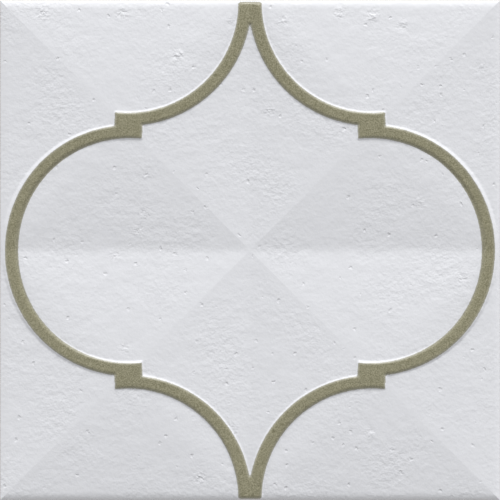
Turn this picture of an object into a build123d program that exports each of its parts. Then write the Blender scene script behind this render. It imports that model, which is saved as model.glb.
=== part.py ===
from build123d import *
import math
import os

# Square wall tile, pressed, glazed and fired as one piece. It lies on its back at z = 0, centred on
# the origin, with the glazed face up. Driving dimensions, in millimetres and degrees.

# Body
tile_size = 200.0          # side of the square
body_thickness = 7.5       # back to the bottom of the valleys between the four cushions
cushion_rise = 3.0         # crown of a cushion over the valleys
valley_radius = 15.0       # hollow along the middle of the valleys
edge_radius = 6.0          # rounding of the face towards the four sides
edge_slope = 33.0          # how steep that rounding gets before the arris
arris_radius = 0.6         # small round between the face and the upright side
back_bevel = 0.6           # bevel round the back

# Raised band, a lantern outline of two side lobes and four ogee arcs
band_width = 5.6           # between the upright walls
band_rise = 0.8            # height over the cushions, which the band follows
crown_ease = 0.05          # keeps the trim of the band's ends clear of the step at the crown
shoulder_bevel = 0.6       # bevel along the band's upper edges
corner_ease = 0.2          # corners of steps and tips, from above, are rounder by this
fork_radius = 0.3          # inner corner where two ogee arcs part
lobe_inset = 0.8           # outermost point of a lobe to the tile's side
step_overlap = 0.2         # how far lobes and ogee arcs reach over the crown line into the steps
ogee_drop = 0.6            # centres of the ogee arcs below the tile's side
tip_width = 9.8            # both ogee arcs together, where they run out at the side
tip_gap = 0.7              # end of a tip to the tile's side
step_length = 11.2         # straight step between a lobe and an ogee arc

# Keyed back
back_border = 12.0         # plain land at the ends of the grooves
key_pitch = 11.0           # one groove and one rib
key_groove = 7.0           # width of a groove
key_depth = 0.8

half = tile_size / 2
quarter = tile_size / 4
tolerance = 0.001


def relief_section(hollowed):
    """Section from the middle valley to the side: hollow, crown arc, edge round, arris and upright side."""
    crown_radius = (quarter**2 + cushion_rise**2) / (2 * cushion_rise)
    valley_slope = math.degrees(math.asin(quarter / crown_radius))
    hollow = Curve()
    crown_start = Vector(0, body_thickness)
    if hollowed:
        hollow += JernArc(crown_start, (1, 0), valley_radius, valley_slope)
        crown_start = hollow @ 1
        crown_radius -= valley_radius
    edge_sine = math.sin(math.radians(edge_slope))
    edge_run = edge_radius * edge_sine + arris_radius * (1 - edge_sine)
    turn_slope = math.degrees(math.asin((quarter - edge_run) / (crown_radius - edge_radius)))
    uphill = Vector(1, 0).rotate(Axis.Z, valley_slope)
    crown = JernArc(crown_start, uphill, crown_radius, -valley_slope - turn_slope)
    edge = JernArc(crown @ 1, crown % 1, edge_radius, turn_slope - edge_slope)
    arris = JernArc(edge @ 1, edge % 1, arris_radius, edge_slope - 90)
    back = Polyline(arris @ 1, (half, 0), (0, 0), (0, body_thickness))
    return make_face(hollow + [crown, edge, arris, back])


def vault(hollowed=False):
    """The section run along the tile's left and right sides."""
    return extrude(Plane.XZ * relief_section(hollowed), amount=-tile_size)


def cross_vault(hollowed=False):
    """The same vault along the upper and lower sides."""
    return mirror(vault(hollowed), about=Plane(origin=(0, 0, 0), z_dir=(1, -1, 0)))


def four_ways(quadrant):
    """One quadrant of the tile and its three mirror images, as one solid."""
    side = quadrant + mirror(quadrant, about=Plane.XZ)
    return side + mirror(side, about=Plane.YZ)


def band_ring(outer_radius):
    return Circle(outer_radius) - Circle(outer_radius - band_width)


def band_outline():
    """The band of one quadrant from above: half a lobe, the step, and one ogee arc up to its tip."""
    lobe_radius = quarter + step_overlap
    lobe_x = half - lobe_inset - lobe_radius
    ogee_y = half - ogee_drop
    ogee_radius = ogee_y - quarter + step_overlap
    ogee_x = tip_width / 2 + ogee_radius - band_width
    step_inner = ogee_x - step_length / 2
    step_outer = ogee_x + step_length / 2
    tip_end = half - tip_gap

    lobe_side = Pos((step_inner + half) / 2, 0) * Rectangle(half - step_inner, tile_size)
    lobe = Pos(lobe_x, 0) * Rot(0, 0, 180) * band_ring(lobe_radius) & lobe_side
    ogee_side = Pos(0, tip_end / 2) * Rectangle(2 * step_outer, tip_end)
    ogee = Pos(ogee_x, ogee_y) * band_ring(ogee_radius) & ogee_side
    step = Pos(ogee_x, quarter) * Rectangle(step_length, band_width)
    outline = lobe + ogee + step
    outline += mirror(outline, about=Plane.YZ)

    outline = fillet(upper_corners(outline)[1:], shoulder_bevel + corner_ease)
    outline = fillet(upper_corners(outline)[0], fork_radius)
    return outline & Pos(quarter, quarter) * Rectangle(half, half)


def upper_corners(outline):
    """Corners of the upper half, from the middle outwards, so that the fork comes first."""
    return outline.vertices().filter_by(lambda corner: corner.Y > 0).sort_by(lambda corner: abs(corner.X))


def band_quadrant():
    """The band of one quadrant: its outline under a raised vault with no hollow, and bevelled shoulders."""
    raised = Pos(0, 0, band_rise)
    band = extrude(band_outline(), amount=tile_size) & raised * vault()

    def is_wall(face):
        upright = abs(face.normal_at().Z) < tolerance
        return upright and face.center().X > tolerance and face.center().Y > tolerance

    rims = band.faces().filter_by(is_wall).edges().filter_by(Axis.Z, reverse=True)
    shoulders = rims.filter_by(lambda edge: edge.center().Z > band_rise + tolerance)
    band = chamfer(shoulders, shoulder_bevel)
    return band & Pos(0, 0, crown_ease) * raised * cross_vault()


def key_grooves():
    """Closed grooves that key the back into the adhesive, an even number with a rib in the middle."""
    groove_count = 2 * int((half - back_border) / key_pitch)
    groove = Rectangle(tile_size - 2 * back_border, key_groove)
    grooves = Sketch() + GridLocations(0, key_pitch, 1, groove_count) * groove
    return extrude(grooves, amount=key_depth)


wall_tile = four_ways(vault(hollowed=True) & cross_vault(hollowed=True)) + four_ways(band_quadrant())
wall_tile = chamfer(wall_tile.edges().group_by(Axis.Z)[0], back_bevel)
wall_tile -= key_grooves()
wall_tile.label = "wall_tile"

os.makedirs("parts", exist_ok=True)
export_step(wall_tile, "parts/wall_tile.step")
print(f"wall_tile: {wall_tile.volume:.0f} mm3, {len(wall_tile.faces())} faces, valid {wall_tile.is_valid}")
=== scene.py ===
import math

import bpy
import numpy as np
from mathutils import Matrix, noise


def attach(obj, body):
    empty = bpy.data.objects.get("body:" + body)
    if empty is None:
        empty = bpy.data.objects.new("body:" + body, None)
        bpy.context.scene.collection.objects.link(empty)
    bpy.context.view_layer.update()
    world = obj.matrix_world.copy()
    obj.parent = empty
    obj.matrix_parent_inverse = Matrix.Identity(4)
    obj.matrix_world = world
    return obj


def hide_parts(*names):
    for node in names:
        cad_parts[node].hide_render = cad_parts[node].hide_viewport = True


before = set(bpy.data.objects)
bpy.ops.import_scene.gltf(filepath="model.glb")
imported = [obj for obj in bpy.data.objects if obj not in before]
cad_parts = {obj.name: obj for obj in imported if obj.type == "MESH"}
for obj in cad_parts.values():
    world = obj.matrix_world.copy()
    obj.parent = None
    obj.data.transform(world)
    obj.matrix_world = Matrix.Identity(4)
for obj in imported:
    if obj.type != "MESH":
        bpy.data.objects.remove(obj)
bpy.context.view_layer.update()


# The pressed face. A square of white-bodied earthenware, pressed in a mould as one piece: four low
# cushions that meet in valleys, with mitred ridges, and a raised band in a lantern outline that
# follows them. It starts as a flat net, finer along the band, and is lifted by its own heights.
mm = 0.001
half = 100.0
quarter = half / 2
valley_height = 7.5
valley_radius = 15.0        # hollow along the valleys between the cushions
cushion_rise = 3.0
crown_lean = math.radians(0.7)  # slope of a cushion's four faces where they meet at its top
ridge_softness = 5.0        # half the width of the ridges that run from the valleys to the sides
sharp_ease = 0.01           # easing that is left on the ridges along the tile's diagonals
edge_radius = 6.0
edge_slope = math.radians(33)
arris_radius = 0.6

crown_sine, crown_cosine = math.sin(crown_lean), math.cos(crown_lean)
crown_radius = (quarter**2 + cushion_rise**2) / 2 - valley_radius * cushion_rise
crown_radius /= valley_radius * (1 - crown_cosine) + cushion_rise * crown_cosine - quarter * crown_sine
crown_run = crown_radius * crown_sine
crown_middle = valley_height + cushion_rise - crown_radius * crown_cosine
hollow_run = (quarter + crown_run) * valley_radius / (crown_radius + valley_radius)
rim = half - arris_radius * (1 - math.sin(edge_slope))
edge_run = edge_radius * math.sin(edge_slope)
edge_middle_x = rim - edge_run
turn = math.asin((edge_middle_x - quarter + crown_run) / (crown_radius - edge_radius))
edge_middle_z = crown_middle + (crown_radius - edge_radius) * math.cos(turn)
edge_start = edge_middle_x + edge_radius * math.sin(turn)
rim_height = edge_middle_z + edge_radius * math.cos(edge_slope)


def soft_max(one, other, ease):
    """The larger of two distances, eased off over the corner where they cross."""
    return np.maximum(one, other) + np.maximum(ease - np.abs(one - other), 0)**2 / (4 * ease)


def soft_min(one, other, ease):
    return -soft_max(-one, -other, ease)


def cushion_section(run):
    """Height in mm over the back, at a distance from the middle valley: hollow, crown arc, edge round."""
    hollow = valley_height + valley_radius - np.sqrt(valley_radius**2 - np.minimum(run, hollow_run)**2)
    crown = crown_middle + np.sqrt(crown_radius**2 - (np.abs(run - quarter) + crown_run)**2)
    edge = edge_middle_z + np.sqrt(edge_radius**2 - np.clip(run - edge_middle_x, 0, edge_run)**2)
    return np.where(run > edge_start, edge, np.where(run < hollow_run, hollow, crown))


def from_ridge(x, y):
    """Distance in mm from the sharp ridges along the tile's diagonals."""
    return np.abs(np.abs(x) - np.abs(y)) / math.sqrt(2)


def cushions(x, y):
    """Height in mm of the four cushions, mitred sharply along the tile's diagonals and softly across."""
    away = from_ridge(x, y)
    ease = ridge_softness * away / crown_radius
    ease += math.sqrt(2) * crown_sine * np.minimum(away, ridge_softness)
    return soft_min(cushion_section(np.abs(x)), cushion_section(np.abs(y)), ease + sharp_ease)


band_rise = 0.88
band_foot = 0.55            # how far the flank reaches outside the band's edge
band_toe = 0.2              # hollow at its foot
band_flank = 0.6            # straight part
band_shoulder = 0.95        # round above it

# How far up the tile the relief sits, its width, and the middle and radius of its lobes, and then the
# same for the khaki glaze on it, whose lobes lie a little further in
relief = (0.1, 5.2, 49.0, 47.45)
khaki = (-0.12, 5.27, 47.8, 47.65)
lobe_fullness = 0.18        # how much fuller than a circle the lobes are on the diagonals
ogee_x, ogee_y, ogee_radius = 48.9, 99.4, 46.85
step_inner, step_outer = 43.2, 54.1
tip_end = half - 0.5
corner_ease = 0.7
tip_ease = 1.2
fork_ease = 1.1


def band_edge(x, y, up, band_width, lobe_x, lobe_radius):
    """Distance in mm from the band's edge, seen from above, more than 0 inside the band."""
    reach = np.abs(y)
    x, y = np.abs(x), np.abs(y - up)
    from_lobe = np.hypot(x - lobe_x, y)
    fuller = lobe_fullness * (2 * (x - lobe_x) * y / (from_lobe**2 + 1))**2
    lobe = np.abs(from_lobe - lobe_radius - fuller) - band_width / 2
    lobe = soft_max(lobe, step_inner - x, corner_ease)
    right = np.hypot(x - ogee_x, y - ogee_y) - ogee_radius
    left = np.hypot(x + ogee_x, y - ogee_y) - ogee_radius
    fork_y = ogee_y - math.sqrt((ogee_radius + band_width / 2 + fork_ease / 4)**2 - ogee_x**2)
    above = np.minimum(soft_min(right, left, fork_ease) - band_width / 2, fork_y - y)
    ogee = np.maximum(above, -right - band_width / 2)
    ogee = soft_max(ogee, x - step_outer, corner_ease)
    ogee = soft_max(ogee, reach - tip_end, tip_ease)
    step_x = np.abs(x - (step_inner + step_outer) / 2) - (step_outer - step_inner) / 2
    step = soft_max(step_x, np.abs(y - quarter) - band_width / 2, corner_ease)
    return -soft_min(soft_min(lobe, ogee, corner_ease), step, corner_ease)


def band_profile(edge):
    """Height of the band from 0 to 1: the hollow at its foot, its straight flank and its round shoulder."""
    run = edge + band_foot
    toe = np.clip(run, 0, band_toe)**2 / (2 * band_toe)
    flank = np.clip(run - band_toe, 0, band_flank)
    shoulder = np.clip(run - band_toe - band_flank, 0, band_shoulder)
    rise = toe + flank + shoulder - shoulder**2 / (2 * band_shoulder)
    return rise / (band_toe / 2 + band_flank + band_shoulder / 2)


face_cells = 210
finer_outside = band_foot + 0.5     # how far the finer net reaches outside and inside the band's edge
finer_inside = band_shoulder + 0.8
bpy.ops.object.select_all(action="DESELECT")
bpy.ops.mesh.primitive_grid_add(
    x_subdivisions=face_cells, y_subdivisions=face_cells, size=2 * rim * mm, location=(0, 0, 0)
)
tile = bpy.context.active_object
tile.name = "glazed_wall_tile"
tile.data.name = "glazed_wall_tile"


def places_of(parts, kind):
    """Places in mm of vertices ("co") or of the middles of faces ("center"), one row for each."""
    flat = np.empty(3 * len(parts))
    parts.foreach_get(kind, flat)
    return flat.reshape(-1, 3) / mm


def select_faces(chosen):
    """Selects these faces of the tile and nothing else, and leaves it in edit mode."""
    bpy.ops.object.mode_set(mode="EDIT")
    bpy.ops.mesh.select_mode(type="FACE")
    bpy.ops.mesh.select_all(action="DESELECT")
    bpy.ops.object.mode_set(mode="OBJECT")
    tile.data.polygons.foreach_set("select", chosen)
    bpy.ops.object.mode_set(mode="EDIT")


# A third of the mesh size on the flanks of the band, and sharp edges along the ridges
middle_x, middle_y = places_of(tile.data.polygons, "center")[:, :2].T
edge = band_edge(middle_x, middle_y, *relief)
select_faces((edge > -finer_outside) & (edge < finer_inside))
bpy.ops.mesh.subdivide(number_cuts=2)
bpy.ops.mesh.select_mode(type="EDGE")
for side in (-1, 1):
    bpy.ops.mesh.select_all(action="SELECT")
    bpy.ops.mesh.bisect(plane_co=(0, 0, 0), plane_no=(1, side, 0))
    bpy.ops.mesh.mark_sharp()
bpy.ops.object.mode_set(mode="OBJECT")


def lift(name, shares, amount, texture=None):
    """Lifts the face by a share of an amount in mm for each vertex, or by that share of a texture."""
    group = tile.vertex_groups.new(name=name)
    for vertex, share in enumerate(shares):
        group.add([vertex], float(share), "REPLACE")
    press = tile.modifiers.new(name, "DISPLACE")
    press.direction = "Z"
    press.vertex_group = name
    press.mid_level = 0
    press.strength = amount * mm
    if texture:
        press.texture = texture
        press.texture_coords = "LOCAL"
        press.mid_level = 0.5
    bpy.ops.object.modifier_apply(modifier=name)


x, y = places_of(tile.data.vertices, "co")[:, :2].T
face_height = valley_height + cushion_rise
lift("cushions", cushions(x, y) / face_height, face_height)
lift("band", band_profile(band_edge(x, y, *relief)), band_rise)

# The glaze lies over a face that was smoothed by hand, which left low swells, drags and scuffs of a
# few millimetres, rougher in some spots than in others and calmer along the sharp ridges. They die
# out at the rim. The spots are places in mm, a few strong ones and more faint ones.
strong_spots = ((-83, 95), (-51, 95), (36, 95), (49, 94), (-29, 78), (-20, -91))
faint_spots = (
    (-7, 92), (13, 92), (61, 90), (92, 73), (8, 56), (68, 19), (-42, 15), (-45, 8), (-54, -2), (85, -11),
    (-50, -39), (-7, -71), (48, -73),
)
strong, faint = 4.5, 2.7
spot_radius = 1.4
drift_size = 22.0           # how far apart the rougher and the calmer stretches lie
drift_middle = 0.85
roughest = 6.0
rim_margin = 1.5


def left_by_ridge(x, y, calmer, reach):
    """Share of the marks that is left beside the sharp ridges, which calm them within a reach in mm."""
    return 1 - calmer * np.exp(-(from_ridge(x, y) / reach)**2)


def surface_marks(x, y):
    """How rough the face is at each place, about 1 away from the rough spots."""
    drift = np.array([noise.noise((a / drift_size, b / drift_size, 0)) for a, b in zip(x, y)])
    rough = drift_middle * np.exp(drift)
    for spots, more in ((strong_spots, strong), (faint_spots, faint)):
        for spot_x, spot_y in spots:
            rough += more * np.exp(-((x - spot_x)**2 + (y - spot_y)**2) / (2 * spot_radius**2))
    return rough * left_by_ridge(x, y, 0.5, 2.5)


clear_of_rim = np.clip((rim - np.maximum(np.abs(x), np.abs(y))) / rim_margin, 0, 1)
evenly = clear_of_rim * left_by_ridge(x, y, 0.8, 3.5)
by_roughness = clear_of_rim * np.clip(surface_marks(x, y) / roughest, 0, 1)
for name, size, depth, shares in (
    ("swell", 8.0, 0.2, evenly),
    ("drag", 3.8, 0.17, evenly),
    ("scuff", 1.8, 0.22 * roughest, by_roughness),
):
    marks = bpy.data.textures.new(name, "CLOUDS")
    marks.noise_scale = size * mm
    marks.noise_depth = 1
    lift(name, shares, depth, marks)
    bpy.data.textures.remove(marks)
tile.vertex_groups.clear()


# Sides and back of the same piece. The rim turns over a small arris into an upright side, and the
# back has a bevel all round and closed grooves that key it into the adhesive.
back_bevel = 0.6
arris_steps = 3
arris_middle = rim_height - arris_radius * math.cos(edge_slope)
rows = []
for step in range(1, arris_steps + 1):
    lean = edge_slope + (math.pi / 2 - edge_slope) * step / arris_steps
    row_reach = half - arris_radius + arris_radius * math.sin(lean)
    rows.append((row_reach, arris_middle + arris_radius * math.cos(lean)))
rows.append((half, back_bevel))
rows.append((half - back_bevel, 0.0))

bpy.ops.object.mode_set(mode="EDIT")
bpy.ops.mesh.select_mode(type="EDGE")
bpy.ops.mesh.select_all(action="DESELECT")
bpy.ops.mesh.select_non_manifold(extend=False, use_wire=False, use_boundary=True, use_multi_face=False,
                                 use_non_contiguous=False, use_verts=False)
reach, height = rim, rim_height
for next_reach, next_height in rows:
    bpy.ops.mesh.extrude_edges_move()
    widen = next_reach / reach
    bpy.ops.transform.resize(value=(widen, widen, 1), center_override=(0, 0, 0))
    bpy.ops.transform.translate(value=(0, 0, (next_height - height) * mm))
    reach, height = next_reach, next_height
bpy.ops.transform.resize(value=(1, 1, 0), center_override=(0, 0, 0))
bpy.ops.mesh.edge_face_add()

groove_length = 176.0
groove_width = 7.0
groove_pitch = 11.0
groove_depth = 0.8
groove_draft = 0.3
groove_count = 16
groove_middles = [(place - (groove_count - 1) / 2) * groove_pitch for place in range(groove_count)]

bpy.ops.mesh.select_mode(type="FACE")
bpy.ops.mesh.hide(unselected=True)
cuts = []
for side in (-1, 1):
    cuts.append(((side * groove_length / 2, 0, 0), (1, 0, 0)))
for middle in groove_middles:
    for side in (-1, 1):
        cuts.append(((0, middle + side * groove_width / 2, 0), (0, 1, 0)))
for place, across in cuts:
    bpy.ops.mesh.select_all(action="SELECT")
    bpy.ops.mesh.bisect(plane_co=[mm * part for part in place], plane_no=across)
bpy.ops.mesh.reveal(select=False)
bpy.ops.object.mode_set(mode="OBJECT")

middle_x, middle_y, middle_z = places_of(tile.data.polygons, "center").T
on_back = np.abs(middle_z) < 0.001
in_row = np.min(np.abs(middle_y[:, None] - np.array(groove_middles)), axis=1) < groove_width / 4
select_faces(on_back & in_row & (np.abs(middle_x) < groove_length / 4))
bpy.ops.mesh.inset(thickness=groove_draft * mm, depth=-groove_depth * mm, use_individual=True)
bpy.ops.mesh.select_all(action="SELECT")
bpy.ops.mesh.normals_make_consistent(inside=False)
bpy.ops.object.mode_set(mode="OBJECT")
bpy.ops.object.shade_smooth_by_angle(angle=math.radians(35))


def linear(code):
    """An sRGB hex colour as the linear values that a shader takes."""
    parts = [int(code[place:place + 2], 16) / 255 for place in (1, 3, 5)]
    return [part / 12.92 if part <= 0.04045 else ((part + 0.055) / 1.055)**2.4 for part in parts] + [1.0]


def node(tree, kind, links=None, inputs=None, **settings):
    """Adds a node with its settings, its input values and the sockets that feed it."""
    added = tree.nodes.new("ShaderNode" + kind)
    for name, value in settings.items():
        setattr(added, name, value)
    for name, value in (inputs or {}).items():
        added.inputs[name].default_value = value
    for name, socket in (links or {}).items():
        tree.links.new(socket, added.inputs[name])
    return added


def ramp(tree, factor, *stops):
    """Adds a colour ramp between two stops, each with its position and its sRGB hex colour."""
    added = node(tree, "ValToRGB", {"Fac": factor})
    for element, (position, code) in zip(added.color_ramp.elements, stops):
        element.position = position
        element.color = linear(code)
    return added


def new_material(name):
    material = bpy.data.materials.new(name)
    material.use_nodes = True
    material.node_tree.nodes.clear()
    return material, material.node_tree


def end_material(tree, colour, gloss, bump):
    """Ends a fired material in a surface with its colour, its roughness and its bump."""
    surface = node(tree, "BsdfPrincipled",
                   {"Base Color": colour.outputs["Result"], "Roughness": gloss.outputs["Result"],
                    "Normal": bump.outputs["Normal"]},
                   {"IOR": 1.5})
    node(tree, "OutputMaterial", {"Surface": surface.outputs["BSDF"]})


# How far each point of the face lies inside the khaki glaze, in mm, and how rough it is. That glaze
# was laid on by a screen which sat a little low on the relief, so its edge isn't quite the band's edge.
x, y = places_of(tile.data.vertices, "co")[:, :2].T
for name, values in (
    ("khaki_edge_mm", np.clip(band_edge(x, y, *khaki), -9, 9)),
    ("roughness", surface_marks(x, y)),
):
    kept = tile.data.attributes.new(name, "FLOAT", "POINT")
    kept.data.foreach_set("value", values.astype(np.float32))

# Satin matt white glaze with a khaki glaze fired on the band: a chalky white that is a little blue,
# barely glossy, with fine drags and pinholes; the khaki is grainy, between olive and brown.
white_glaze = "#DADBDF"
khaki_dark, khaki_light = "#6A674C", "#9C9880"
pit_spacing = 7.0
pit_radius = 1.0
pit_raggedness = 1.5

glaze, tree = new_material("satin_white_glaze_with_khaki_band")
at = node(tree, "TexCoord").outputs["Object"]
grain = node(tree, "TexNoise", {"Vector": at}, {"Scale": 1 / (0.45 * mm), "Detail": 1.0, "Roughness": 0.6})
drags = node(tree, "TexNoise", {"Vector": at}, {"Scale": 1 / (1.5 * mm), "Detail": 1.0, "Roughness": 0.55})

# The khaki's edge wanders with its grain, and the glaze is a little thinner there
edge_mm = node(tree, "Attribute", attribute_name="khaki_edge_mm", attribute_type="GEOMETRY")
wander = node(tree, "MapRange", {"Value": grain.outputs["Fac"]},
              {"From Min": 0.3, "From Max": 0.7, "To Min": -0.12, "To Max": 0.12})
wandering = node(tree, "Math", {0: edge_mm.outputs["Fac"], 1: wander.outputs["Result"]}, operation="ADD")
in_khaki = node(tree, "MapRange", {"Value": wandering.outputs["Value"]},
                {"From Min": -0.1, "From Max": 0.1}, interpolation_type="SMOOTHSTEP")
thick = node(tree, "MapRange", {"Value": wandering.outputs["Value"]},
             {"From Min": 0.1, "From Max": 0.9, "To Min": 0.84, "To Max": 1.0})
cover = node(tree, "Math", {0: in_khaki.outputs["Result"], 1: thick.outputs["Result"]}, operation="MULTIPLY")
speckle = ramp(tree, grain.outputs["Fac"], (0.3, khaki_dark), (0.7, khaki_light))
colour = node(tree, "Mix", {"Factor": cover.outputs["Value"], "B": speckle.outputs["Color"]},
              {"A": linear(white_glaze)}, data_type="RGBA")
gloss = node(tree, "MapRange", {"Value": in_khaki.outputs["Result"]}, {"To Min": 0.55, "To Max": 0.42})

# Drags and pinholes, both shallower in the khaki, and the drags deeper where the face is rougher
scuffed = node(tree, "Attribute", attribute_name="roughness", attribute_type="GEOMETRY")
filled = node(tree, "MapRange", {"Value": in_khaki.outputs["Result"]}, {"To Min": 1.0, "To Max": 0.3})
deep = node(tree, "Math", {0: scuffed.outputs["Fac"], 1: filled.outputs["Result"]}, operation="MULTIPLY")
level = node(tree, "Math", {0: drags.outputs["Fac"]}, {1: 0.5}, operation="SUBTRACT")
dragged = node(tree, "Math", {0: level.outputs["Value"], 1: deep.outputs["Value"]}, operation="MULTIPLY")
ragged = node(tree, "VectorMath", {0: drags.outputs["Color"], 2: at}, {1: [pit_raggedness * mm] * 3},
              operation="MULTIPLY_ADD")
pit_cells = node(tree, "TexVoronoi", {"Vector": ragged.outputs["Vector"]}, {"Scale": 1 / (pit_spacing * mm)})
pits = node(tree, "MapRange", {"Value": pit_cells.outputs["Distance"]},
            {"From Min": 0.0, "From Max": pit_radius / pit_spacing, "To Min": 1.3, "To Max": 0.0},
            interpolation_type="SMOOTHSTEP")
pitted = node(tree, "Math", {0: pits.outputs["Result"], 1: filled.outputs["Result"]}, operation="MULTIPLY")
marked = node(tree, "Math", {0: dragged.outputs["Value"], 1: pitted.outputs["Value"]}, operation="SUBTRACT")
bump = node(tree, "Bump", {"Height": marked.outputs["Value"]}, {"Strength": 1.0, "Distance": 0.2 * mm})
end_material(tree, colour, gloss, bump)

# Bare fired body on the back and the lower sides: a dry, pale cream biscuit with fine grit. The
# white glaze laps a little way down the sides and stops in an uneven line.
biscuit_pale, biscuit_dark = "#DDD3C4", "#CBBFAE"
glaze_lap = 1.6
lap_height = (rim_height - arris_radius - glaze_lap) * mm
biscuit, tree = new_material("bare_fired_biscuit")
at = node(tree, "TexCoord").outputs["Object"]
grit = node(tree, "TexNoise", {"Vector": at}, {"Scale": 1 / (0.9 * mm), "Detail": 3.0, "Roughness": 0.6})
lap_line = node(tree, "TexNoise", {"Vector": at}, {"Scale": 1 / (9 * mm), "Detail": 2.0})
body = ramp(tree, grit.outputs["Fac"], (0.35, biscuit_dark), (0.65, biscuit_pale))
parts = node(tree, "SeparateXYZ", {"Vector": at})
wave = node(tree, "MapRange", {"Value": lap_line.outputs["Fac"]},
            {"From Min": 0.25, "From Max": 0.75, "To Min": -0.9 * mm, "To Max": 0.9 * mm})
waving = node(tree, "Math", {0: parts.outputs["Z"], 1: wave.outputs["Result"]}, operation="ADD")
lapped = node(tree, "MapRange", {"Value": waving.outputs["Value"]},
              {"From Min": lap_height - 0.1 * mm, "From Max": lap_height + 0.1 * mm})
colour = node(tree, "Mix", {"Factor": lapped.outputs["Result"], "A": body.outputs["Color"]},
              {"B": linear(white_glaze)}, data_type="RGBA")
gloss = node(tree, "MapRange", {"Value": lapped.outputs["Result"]}, {"To Min": 0.9, "To Max": 0.55})
bump = node(tree, "Bump", {"Height": grit.outputs["Fac"]}, {"Strength": 0.6, "Distance": 0.12 * mm})
end_material(tree, colour, gloss, bump)

tile.data.materials.append(glaze)
tile.data.materials.append(biscuit)
middle_z = places_of(tile.data.polygons, "center")[:, 2]
tile.data.polygons.foreach_set("material_index", (middle_z < rim_height - arris_radius).astype(np.int32))

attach(tile, "root")
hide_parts("wall_tile")


# Plain pale floor under the tile, and a plain pale surround
bpy.ops.object.select_all(action="DESELECT")
bpy.ops.mesh.primitive_plane_add(size=6, location=(0, 0, 0))
floor = bpy.context.active_object
floor.name = "floor"
paper, tree = new_material("pale_studio_floor")
surface = node(tree, "BsdfPrincipled", inputs={"Base Color": linear("#E4E3E0"), "Roughness": 0.8})
node(tree, "OutputMaterial", {"Surface": surface.outputs["BSDF"]})
floor.data.materials.append(paper)

# Soft even light from all round, one large soft lamp above the tile's upper side and a weak one at
# the left and at the right. Each lamp has its level, its direction and its height in degrees.
ambient = 0.485
lamp_distance = 2.0
lamp_spread = math.radians(20)
world = bpy.data.worlds.new("studio")
bpy.context.scene.world = world
world.use_nodes = True
tree = world.node_tree
tree.nodes.clear()
ray = node(tree, "LightPath")
seen = node(tree, "Math", {0: ray.outputs["Is Camera Ray"], 1: ray.outputs["Is Glossy Ray"]}, operation="ADD")
seen = node(tree, "Math", {0: seen.outputs["Value"], 1: ray.outputs["Is Transmission Ray"]}, operation="ADD",
            use_clamp=True)
light = node(tree, "Background", inputs={"Color": (1, 1, 1, 1), "Strength": ambient})
pale = node(tree, "Background", inputs={"Color": linear("#EDEDEB"), "Strength": 1.0})
either = node(tree, "MixShader", {"Fac": seen.outputs["Value"], 1: light.outputs["Background"],
                                  2: pale.outputs["Background"]})
node(tree, "OutputWorld", {"Surface": either.outputs["Shader"]})

for name, lamp_level, direction, lamp_height in (
    ("softbox", 0.925, 6, 28),
    ("right_strip", 0.15, 90, 12),
    ("left_strip", 0.15, -90, 12),
):
    turn_to, rise_to = math.radians(direction), math.radians(lamp_height)
    bpy.ops.object.light_add(type="SUN", location=(
        lamp_distance * math.cos(rise_to) * math.sin(turn_to),
        lamp_distance * math.cos(rise_to) * math.cos(turn_to),
        lamp_distance * math.sin(rise_to),
    ))
    lamp = bpy.context.active_object
    lamp.name = name
    lamp.rotation_euler = lamp.location.to_track_quat("Z", "Y").to_euler()
    lamp.data.angle = lamp_spread
    lamp.data.energy = lamp_level * math.pi

# The camera looks straight down on the face from far off, and the tile just fills the picture
camera_height = 6.0
camera_shift = 0.12
picture_width = 200.2
sensor_width = 36
bpy.ops.object.camera_add(location=(0, camera_shift * mm, camera_height), rotation=(0, 0, 0))
camera = bpy.context.active_object
camera.data.sensor_width = sensor_width
camera.data.lens = sensor_width * (camera_height - rim_height * mm) / (picture_width * mm)
camera.data.clip_end = 20
camera.data.dof.use_dof = False
bpy.context.scene.camera = camera
bpy.context.scene.view_settings.view_transform = "Standard"
